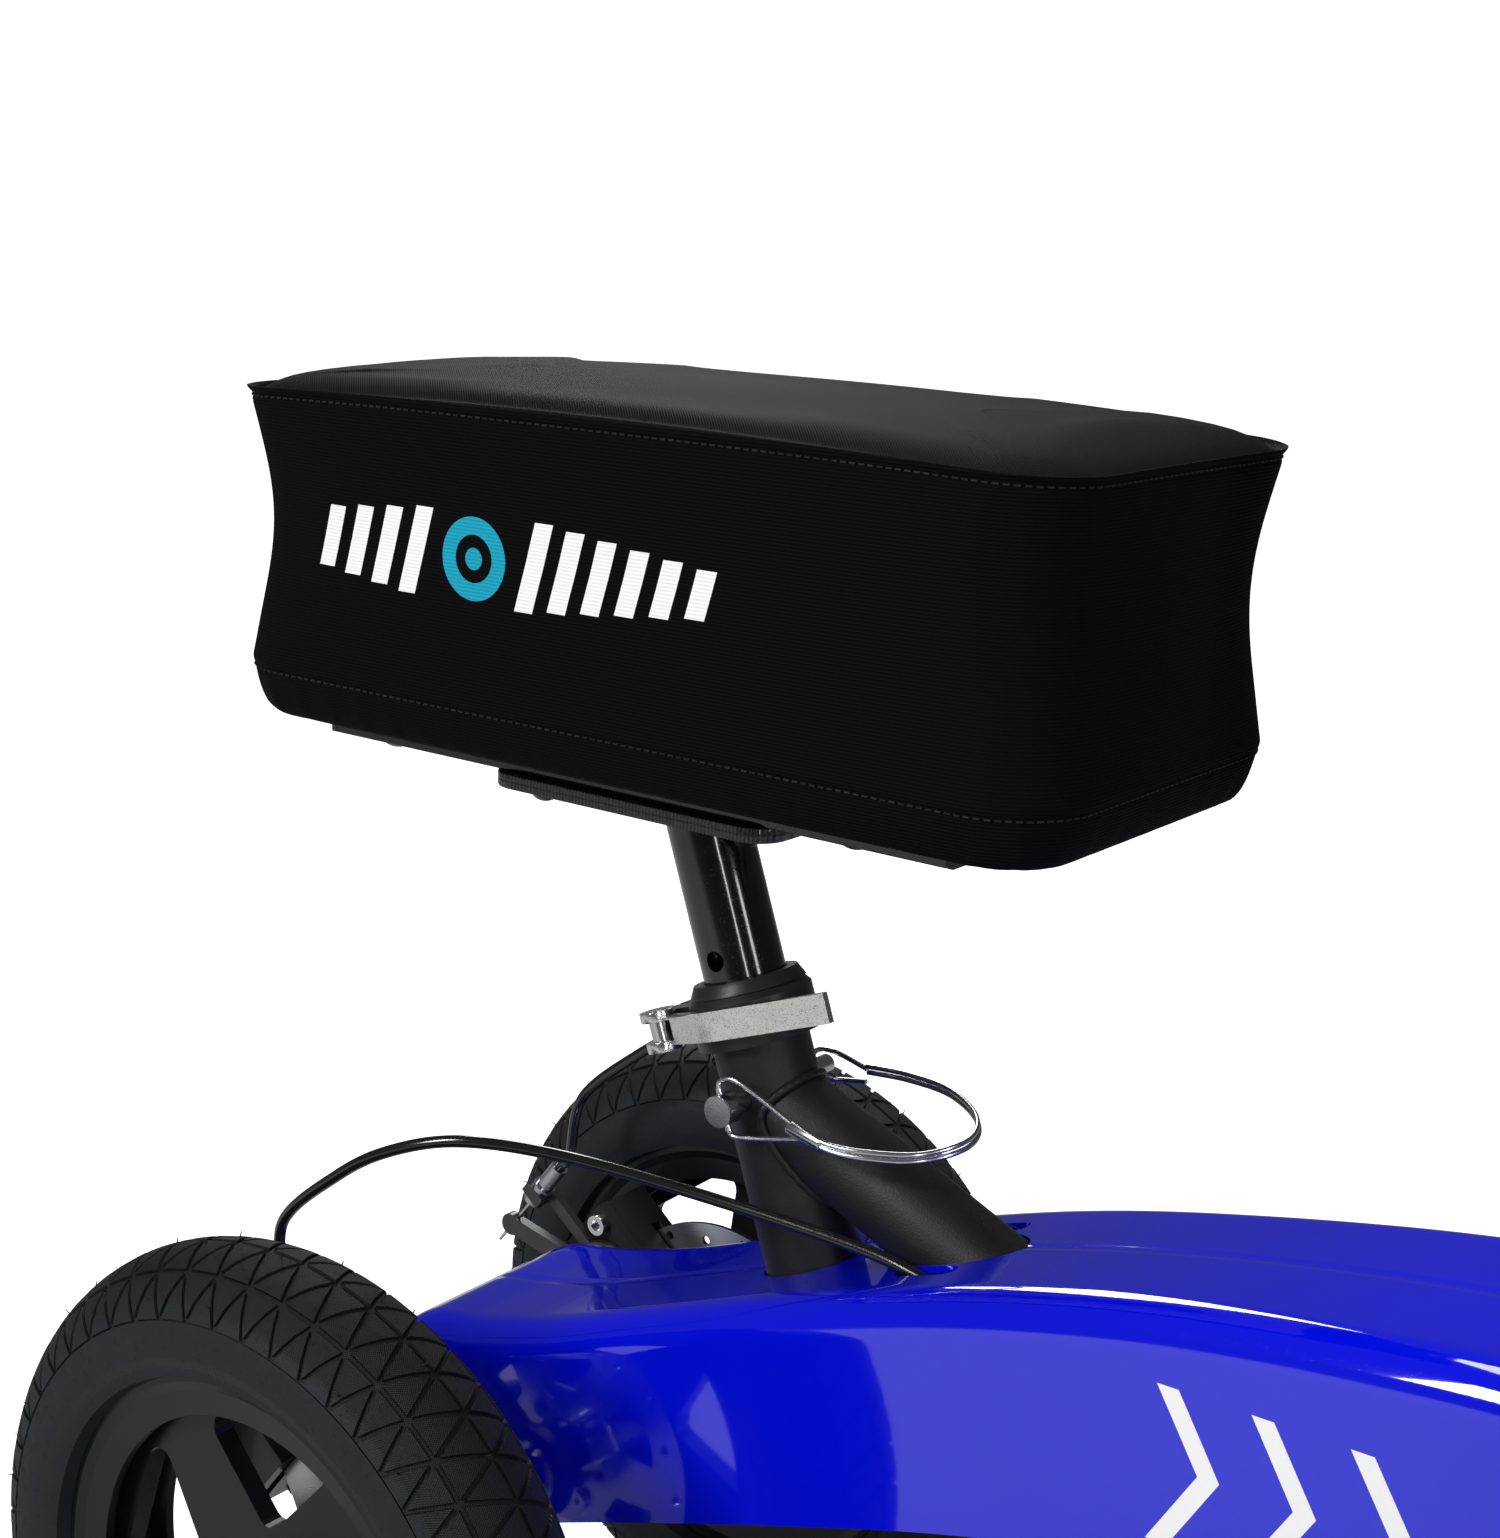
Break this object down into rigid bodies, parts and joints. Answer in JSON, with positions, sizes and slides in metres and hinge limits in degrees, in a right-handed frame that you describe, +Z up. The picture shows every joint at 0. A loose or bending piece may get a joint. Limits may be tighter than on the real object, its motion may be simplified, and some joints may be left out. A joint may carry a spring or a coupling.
{
  "type": "knee scooter",
  "caption": "Steerable scooter with wheels fore and aft, a raised kneeling cushion on a telescoping post, a folding handlebar column and disc brakes.",
  "frame": {"origin": "on the ground, midway between the axles on the centre plane", "axes": "+X forward, +Y left, +Z up"},
  "size_m": [0.866, 0.5706, 0.9807],
  "materials": {
    "frame_black": "textured matt powder coat",
    "body_blue": "high gloss blue with a clear coat",
    "tray_black": "matt moulded plastic",
    "zinc": "bright zinc plate",
    "bearing_steel": "ground steel with black seals",
    "caliper_black": "satin black paint",
    "barrel_alloy": "bright turned alloy",
    "cable_black": "smooth black cable housing",
    "collar_black": "satin black moulded plastic",
    "lever_alloy": "polished cast alloy",
    "post_black": "gloss black paint",
    "bolt_black": "black oxide",
    "cap_black": "moulded end cap",
    "board_wood": "plywood",
    "pad_knit": "black ribbed knit over foam",
    "stem_black": "semi-gloss black paint",
    "grip_rubber": "soft black moulded rubber",
    "lever_black": "satin black paint over alloy",
    "tyre_rubber": "black moulded rubber",
    "rim_black": "semi-matt black",
    "disc_steel": "perforated stainless steel",
    "hub_black": "satin black"
  },
  "bodies": {
    "chassis": {"main_frame": "frame_black", "body_shell": "body_blue", "under_tray": "tray_black", "rear_axle": "zinc", "rear_axle_nuts": "zinc", "caliper_brackets": "frame_black", "caliper_bodies": "caliper_black", "caliper_screws": "zinc", "cable_adjusters": "barrel_alloy", "brake_cable_left": "cable_black", "brake_cable_right": "cable_black", "head_bearings": "bearing_steel", "seat_clamp_collar": "collar_black", "seat_clamp_bolt": "zinc", "hub_caps_rear": "hub_black"},
    "seat_lever": {"seat_clamp_lever": "lever_alloy"},
    "seat": {"seat_post": "post_black", "post_plate": "post_black", "dome_bolts": "bolt_black", "pad_rail": "post_black", "rail_caps": "cap_black", "pad_board": "board_wood", "knee_pad": "pad_knit"},
    "pin": {"hitch_pin": "zinc"},
    "ring": {"pin_ring": "zinc"},
    "steering": {"steerer": "frame_black", "fold_pin": "zinc"},
    "latch": {"fold_latch": "lever_alloy"},
    "stem": {"lower_stem": "stem_black", "stem_collar": "collar_black", "stem_clamp_bolt": "zinc"},
    "stem_lever": {"stem_clamp_lever": "lever_alloy"},
    "bar": {"upper_stem": "post_black", "handlebar": "stem_black", "grips": "grip_rubber", "lever_brackets": "lever_black"},
    "lever_left": {"brake_lever_left": "lever_black"},
    "lever_right": {"brake_lever_right": "lever_black"},
    "arm_left": {"caliper_arm_left": "caliper_black"},
    "arm_right": {"caliper_arm_right": "caliper_black"},
    "knuckle_left": {"knuckle_left": "frame_black"},
    "knuckle_right": {"knuckle_right": "frame_black"},
    "tie_left": {"tie_rod_left": "zinc"},
    "tie_right": {"tie_rod_right": "zinc"},
    "wheel_rear_left": {"tyre_rear_left": "tyre_rubber", "rim_rear_left": "rim_black", "bearings_rear_left": "bearing_steel", "brake_disc_left": "disc_steel", "disc_bolts_left": "zinc"},
    "wheel_rear_right": {"tyre_rear_right": "tyre_rubber", "rim_rear_right": "rim_black", "bearings_rear_right": "bearing_steel", "brake_disc_right": "disc_steel", "disc_bolts_right": "zinc"},
    "wheel_front_left": {"tyre_front_left": "tyre_rubber", "rim_front_left": "rim_black", "bearings_front_left": "bearing_steel"},
    "wheel_front_right": {"tyre_front_right": "tyre_rubber", "rim_front_right": "rim_black", "bearings_front_right": "bearing_steel"}
  },
  "joints": [
    {"name": "seat_lever_turn", "type": "hinge", "parent": "chassis", "child": "seat_lever", "pos_m": [-0.20712, -0.02, 0.3789], "axis": [-0.3355, 0, 0.9421], "range_deg": [-130, 0]},
    {"name": "seat_height", "type": "slide", "parent": "chassis", "child": "seat", "axis": [-0.3355, 0, 0.9421], "range_m": [-0.035, 0.06]},
    {"name": "pin_pull", "type": "slide", "parent": "chassis", "child": "pin", "axis": [0, -1, 0], "range_m": [0, 0.052]},
    {"name": "ring_swing", "type": "hinge", "parent": "pin", "child": "ring", "pos_m": [-0.16513, -0.0325, 0.35935], "axis": [-0.3355, 0, 0.9421], "range_deg": [-100, 0]},
    {"name": "steer", "type": "hinge", "parent": "chassis", "child": "steering", "pos_m": [0.265, 0, 0.215], "axis": [-0.2079, 0, 0.9781], "range_deg": [-25, 25], "deforming": ["brake_cable_left", "brake_cable_right"]},
    {"name": "latch_turn", "type": "hinge", "parent": "steering", "child": "latch", "pos_m": [0.20387, 0, 0.37274], "axis": [0, 1, 0], "range_deg": [-60, 0], "stiffness_Nm_per_rad": 0.1},
    {"name": "stem_fold", "type": "hinge", "parent": "steering", "child": "stem", "pos_m": [0.2255, 0, 0.40085], "axis": [0, 1, 0], "range_deg": [0, 100], "deforming": ["brake_cable_left", "brake_cable_right"]},
    {"name": "stem_lever_turn", "type": "hinge", "parent": "stem", "child": "stem_lever", "pos_m": [0.1986, 0.02, 0.67167], "axis": [-0.2079, 0, 0.9781], "range_deg": [-130, 0]},
    {"name": "bar_height", "type": "slide", "parent": "stem", "child": "bar", "axis": [-0.2079, 0, 0.9781], "range_m": [-0.09, 0.06], "deforming": ["brake_cable_left", "brake_cable_right"]},
    {"name": "brake_lever_left_pull", "type": "hinge", "parent": "bar", "child": "lever_left", "pos_m": [0.12172, 0.14363, 0.96201], "axis": [0, 0, 1], "range_deg": [0, 12], "stiffness_Nm_per_rad": 2},
    {"name": "brake_lever_right_pull", "type": "hinge", "parent": "bar", "child": "lever_right", "pos_m": [0.12172, -0.14363, 0.96201], "axis": [0, 0, 1], "range_deg": [-12, 0], "stiffness_Nm_per_rad": 2},
    {"name": "caliper_arm_left_turn", "type": "hinge", "parent": "chassis", "child": "arm_left", "pos_m": [-0.3328, 0.108, 0.19425], "axis": [0, 1, 0], "range_deg": [0, 12], "stiffness_Nm_per_rad": 1, "deforming": ["brake_cable_left"]},
    {"name": "caliper_arm_right_turn", "type": "hinge", "parent": "chassis", "child": "arm_right", "pos_m": [-0.3328, -0.108, 0.19425], "axis": [0, 1, 0], "range_deg": [0, 12], "stiffness_Nm_per_rad": 1, "deforming": ["brake_cable_right"]},
    {"name": "kingpin_left", "type": "hinge", "parent": "chassis", "child": "knuckle_left", "pos_m": [0.28, 0.104, 0.228], "axis": [0, 0, 1], "range_deg": [-25, 25]},
    {"name": "kingpin_right", "type": "hinge", "parent": "chassis", "child": "knuckle_right", "pos_m": [0.28, -0.104, 0.228], "axis": [0, 0, 1], "range_deg": [-25, 25]},
    {"name": "tie_rod_left_turn", "type": "hinge", "parent": "steering", "child": "tie_left", "pos_m": [0.21475, 0, 0.23499], "axis": [-0.2079, 0, 0.9781], "range_deg": [-25, 25]},
    {"name": "tie_rod_right_turn", "type": "hinge", "parent": "steering", "child": "tie_right", "pos_m": [0.21475, 0, 0.23499], "axis": [-0.2079, 0, 0.9781], "range_deg": [-25, 25]},
    {"name": "wheel_rear_left_spin", "type": "hinge", "parent": "chassis", "child": "wheel_rear_left", "pos_m": [-0.28, 0.158, 0.153], "axis": [0, 1, 0], "continuous": true},
    {"name": "wheel_rear_right_spin", "type": "hinge", "parent": "chassis", "child": "wheel_rear_right", "pos_m": [-0.28, -0.158, 0.153], "axis": [0, 1, 0], "continuous": true},
    {"name": "wheel_front_left_spin", "type": "hinge", "parent": "knuckle_left", "child": "wheel_front_left", "pos_m": [0.28, 0.158, 0.153], "axis": [0, 1, 0], "continuous": true},
    {"name": "wheel_front_right_spin", "type": "hinge", "parent": "knuckle_right", "child": "wheel_front_right", "pos_m": [0.28, -0.158, 0.153], "axis": [0, 1, 0], "continuous": true}
  ],
  "couplings": [
    {"joint": "kingpin_left", "follows": "steer", "ratio": 1},
    {"joint": "kingpin_right", "follows": "steer", "ratio": 1},
    {"joint": "tie_rod_left_turn", "follows": "steer", "ratio": -1},
    {"joint": "tie_rod_right_turn", "follows": "steer", "ratio": -1},
    {"joint": "latch_turn", "follows": "stem_fold", "ratio": -0.6},
    {"joint": "pin_pull", "follows": "ring_swing", "m_per_rad": -0.0297},
    {"joint": "caliper_arm_left_turn", "follows": "brake_lever_left_pull", "ratio": 1},
    {"joint": "caliper_arm_right_turn", "follows": "brake_lever_right_pull", "ratio": -1}
  ]
}
